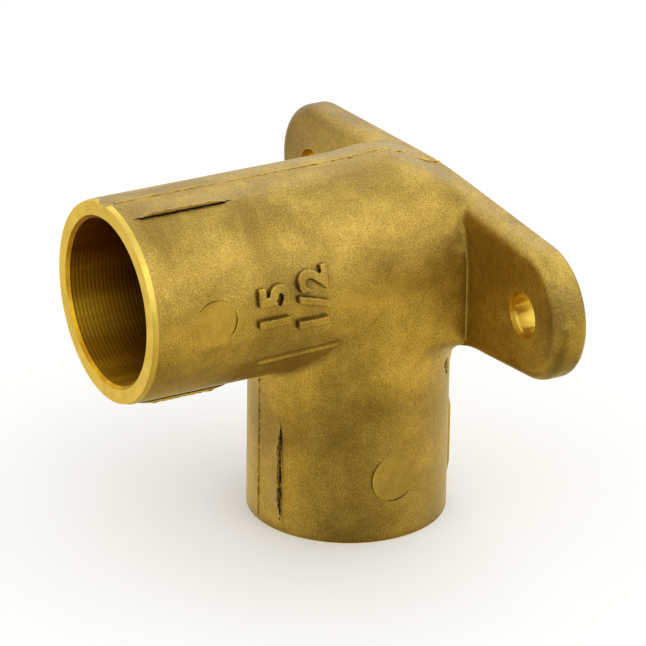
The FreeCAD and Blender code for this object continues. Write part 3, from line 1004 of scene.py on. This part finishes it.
def finish_of(face):
    """Finish of a face of the skin by where it lies."""
    centre, normal = face.calc_center_median(), face.normal
    x, y, z = centre
    from_outlet, from_inlet = y - OUTLET_MOUTH, z - INLET_MOUTH
    if y < BEND_Y + WATER_RADIUS and from_outlet < from_inlet + NEARER_OUTLET:
        made = barrel_finish(from_outlet, math.hypot(x, z), OUTLET_RIM, bored_along_y)
        on_patch = SKIN_PATCH[0] < x < SKIN_PATCH[1] and z > INSIDE and from_outlet > FLAT_RIM
        if made:
            return forged if made is turned and on_patch else made
    if z < WATER_RADIUS:
        off_axis = math.hypot(x, y - BEND_Y)
        made = barrel_finish(from_inlet, off_axis, INLET_RIM, bored_along_z)
        if made:
            return made
    in_hole = math.hypot(abs(x) - HOLE_X, z - HOLE_Z) < HOLE_RADIUS + SLACK
    if in_hole and abs(normal.y) < FACING:
        return drilled
    # The gaps under the lands and the pit get painted shade.
    if land_gap(centre, normal) or off_line(centre, *PIT_LINE) < PIT_DARK:
        return pit_and_gap_shade
    if abs(abs(x) - PIN_PLANE) < STRIP_BAND and abs(normal.x) > FLAT_ON:
        for pin_y, pin_z, pin_radius in PINS:
            if math.hypot(y - pin_y, z - pin_z) < pin_radius:
                return pressed
    return forged


# %% Give every face its finish
skin.data.materials.clear()
for material in finishes:
    skin.data.materials.append(material)
open_piece(skin)
mesh = bmesh.from_edit_mesh(skin.data)
counts = dict.fromkeys([material.name for material in finishes], 0)
for face in mesh.faces:
    made = finish_of(face)
    face.material_index = finishes.index(made)
    counts[made.name] += 1
bmesh.update_edit_mesh(skin.data)
close_piece()
for piece in (ridge, mark):
    piece.data.materials.clear()
    piece.data.materials.append(forged)
print("faces per finish:", counts)

# %% [markdown]
# ## Shade and hand the pieces to the frame
# Edges that turn by more than a set angle stay crisp, and the rest shade smoothly. Every piece
# then rides on the one body, and the skin stands for the CAD node.

# %% Shade, ride and replace
CRISP = math.radians(28)
for piece in (skin, ridge, mark):
    take(piece)
    bpy.ops.object.shade_smooth_by_angle(angle=CRISP)
    clear_selection()
    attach(piece, "root")
    print(piece.name, len(piece.data.polygons), "faces")
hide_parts("elbow_body")

# %% [markdown]
# ## Floor, light and camera
# The floor is a plain white sheet that glows a little, like a light table. It doesn't show in
# the brass, which mirrors only the studio round it. Seen from below it is clear, so that the
# part can be looked at from there too.

# %% Floor
FLOOR_GAP = 0.02 * MM
FLOOR_SIZE = 6

clear_selection()
bpy.ops.mesh.primitive_plane_add(size=FLOOR_SIZE, location=(0, 0, cad_low.z - FLOOR_GAP))
floor = bpy.context.object
floor.name = "studio_floor"
paper = bpy.data.materials.new("floor_paper")
paper.use_nodes = True
sheet = paper.node_tree.nodes["Principled BSDF"]
sheet.inputs["Base Color"].default_value = (0.9, 0.9, 0.9, 1)
sheet.inputs["Roughness"].default_value = 0.9
sheet.inputs["Emission Color"].default_value = (1, 1, 1, 1)
sheet.inputs["Emission Strength"].default_value = 0.07
nodes, join = paper.node_tree.nodes, paper.node_tree.links.new
seen_from = nodes.new("ShaderNodeNewGeometry")
clear = nodes.new("ShaderNodeBsdfTransparent")
one_sided = nodes.new("ShaderNodeMixShader")
join(seen_from.outputs["Backfacing"], one_sided.inputs["Fac"])
join(sheet.outputs["BSDF"], one_sided.inputs[1])
join(clear.outputs["BSDF"], one_sided.inputs[2])
join(one_sided.outputs["Shader"], nodes["Material Output"].inputs["Surface"])
floor.data.materials.append(paper)
floor.visible_glossy = False
print("floor at, mm:", in_mm(floor.location))

# %% [markdown]
# The light is one big soft tent. It is brightest well up its wall, dimmer overhead, and warm
# and dim below, where the brass would see the table and its own shadow. One side of the tent is
# nearer than the other, so it is brighter, and one low patch is dim, which gives the front of
# the lower barrel its darker band.

# %% World
# Height, from -1 below to 1 overhead, and colour.
TENT = (
    (-1.0, (0.46, 0.40, 0.22)),
    (-0.45, (0.98, 0.86, 0.50)),
    (0.0, (0.82, 0.78, 0.62)),
    (0.45, (1.16, 1.14, 1.10)),
    (0.68, (1.42, 1.42, 1.40)),
    (1.0, (0.82, 0.83, 0.84)),
)
BRIGHTEST = max(max(color) for height, color in TENT)
world = bpy.data.worlds.new("studio")
bpy.context.scene.world = world
world.use_nodes = True
sky, join = world.node_tree.nodes, world.node_tree.links.new
where = sky.new("ShaderNodeTexCoord")
split = sky.new("ShaderNodeSeparateXYZ")
join(where.outputs["Generated"], split.inputs["Vector"])
height = sky.new("ShaderNodeMapRange")
height.inputs["From Min"].default_value = -1
join(split.outputs["Z"], height.inputs["Value"])
ramp = sky.new("ShaderNodeValToRGB")
ramp.color_ramp.interpolation = "EASE"
while len(ramp.color_ramp.elements) < len(TENT):
    ramp.color_ramp.elements.new(0.5)
for stop, (rise, color) in zip(ramp.color_ramp.elements, TENT):
    stop.position = (rise + 1) / 2
    stop.color = (*[part / BRIGHTEST for part in color], 1)
join(height.outputs["Result"], ramp.inputs["Fac"])
join(ramp.outputs["Color"], sky["Background"].inputs["Color"])
print("heights of the tent:", len(TENT))

# %% Brighten one side of the tent and dim a patch
NEAR_SIDE = (0.866, 0.5, 0.0)
DIM_SIDE = (0.852, -0.310, -0.423)
# A direction, and how far the tent faces it at both ends of a range, with the strength there.
SIDES = ((NEAR_SIDE, (-1.0, 1.0, 0.88, 1.13)), (DIM_SIDE, (0.55, 1.0, 1.0, 0.55)))
RANGE = ("From Min", "From Max", "To Min", "To Max")
strength = None
for direction, ends in SIDES:
    toward = sky.new("ShaderNodeVectorMath")
    toward.operation = "DOT_PRODUCT"
    join(where.outputs["Generated"], toward.inputs[0])
    toward.inputs[1].default_value = direction
    side = sky.new("ShaderNodeMapRange")
    side.interpolation_type = "SMOOTHSTEP"
    for socket, value in zip(RANGE, ends):
        side.inputs[socket].default_value = value
    join(toward.outputs["Value"], side.inputs["Value"])
    total = sky.new("ShaderNodeMath")
    total.operation = "MULTIPLY"
    join(side.outputs["Result"], total.inputs[0])
    total.inputs[1].default_value = BRIGHTEST
    if strength:
        join(strength, total.inputs[1])
    strength = total.outputs["Value"]
join(strength, sky["Background"].inputs["Strength"])
print("sides of the tent:", len(SIDES))

# %% [markdown]
# The camera stands where the photograph was taken from, as far as that can be told: its angles
# and focal length were fitted to the outline of the part. That gives a long lens about 45 cm
# away, looking down at 24 degrees.

# %% Camera
AZIMUTH, ELEVATION, ROLL = (math.radians(angle) for angle in (60.202, 23.859, 0.924))
DISTANCE, SIDE, RISE = 446.697 * MM, 2.627 * MM, 6.79 * MM
FOCAL_PIXELS = 4686.35
FRAME_PIXELS = 646
bend_centre = Vector((0, BEND_Y, 0))
backward = Vector(
    (
        math.sin(AZIMUTH) * math.cos(ELEVATION),
        -math.cos(AZIMUTH) * math.cos(ELEVATION),
        math.sin(ELEVATION),
    )
)
level = Vector((math.cos(AZIMUTH), math.sin(AZIMUTH), 0))
upward = backward.cross(level)
camera_x = level * math.cos(ROLL) + upward * math.sin(ROLL)
camera_y = upward * math.cos(ROLL) - level * math.sin(ROLL)
lens = bpy.data.cameras.new("camera")
camera = bpy.data.objects.new("camera", lens)
bpy.context.scene.collection.objects.link(camera)
lens.sensor_width = 36
lens.lens = FOCAL_PIXELS / FRAME_PIXELS * lens.sensor_width
camera.matrix_world = Matrix((camera_x, camera_y, backward)).transposed().to_4x4()
camera.location = bend_centre + backward * DISTANCE - camera_x * SIDE - camera_y * RISE
bpy.context.scene.camera = camera
bpy.context.scene.view_settings.view_transform = "Standard"
print("camera at, mm:", in_mm(camera.location))
